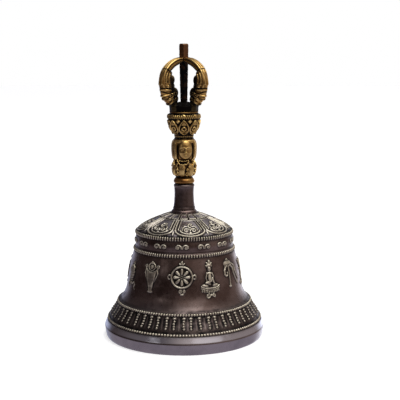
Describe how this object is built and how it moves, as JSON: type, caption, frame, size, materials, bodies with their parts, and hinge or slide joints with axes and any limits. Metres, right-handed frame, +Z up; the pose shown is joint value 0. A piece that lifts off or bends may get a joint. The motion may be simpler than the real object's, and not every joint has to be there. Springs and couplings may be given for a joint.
{
  "type": "hand bell",
  "caption": "Flared bronze hand bell with relief bands, a stacked brass handle ending in a pronged half vajra, and a free-swinging iron clapper on a wire link.",
  "frame": {"origin": "centre of the mouth, in the plane of the lip that the bell stands on", "axes": "+Z up along the bell and handle; +X to the right and +Y to the back, with the prongs on the diagonals"},
  "size_m": [0.0998, 0.0998, 0.18],
  "materials": {
    "bell_metal": "cast bell metal, dark brown patina, worn to pale metal on the raised relief",
    "neck_bronze": "smooth dark brown patina",
    "cast_brass": "cast brass, rubbed golden on the high places, dark in the recesses",
    "dark_bronze": "blackened bronze, brown where it is handled",
    "iron": "dull grey iron",
    "steel_wire": "plain drawn wire"
  },
  "bodies": {
    "bell": {"bell_shell": "bell_metal", "neck_sleeve": "neck_bronze", "handle_ring": "cast_brass", "handle_vase": "cast_brass", "handle_head": "cast_brass", "handle_lotus": "cast_brass", "vajra_hub": "cast_brass", "prong_front_left": "cast_brass", "prong_front_right": "cast_brass", "prong_rear_left": "cast_brass", "prong_rear_right": "cast_brass", "centre_prong": "dark_bronze", "core_rod": "iron", "crown_washer": "iron", "clapper_eye": "iron"},
    "link": {"clapper_link": "steel_wire"},
    "clapper": {"clapper_rod": "iron", "clapper_bob": "iron"}
  },
  "joints": [
    {"name": "link_swing", "type": "hinge", "parent": "bell", "child": "link", "pos_m": [0, 0, 0.0585], "axis": [0, 1, 0], "range_deg": [-33, 33]},
    {"name": "clapper_swing", "type": "hinge", "parent": "link", "child": "clapper", "pos_m": [0, 0, 0.0514], "axis": [1, 0, 0], "range_deg": [-10, 10]}
  ]
}
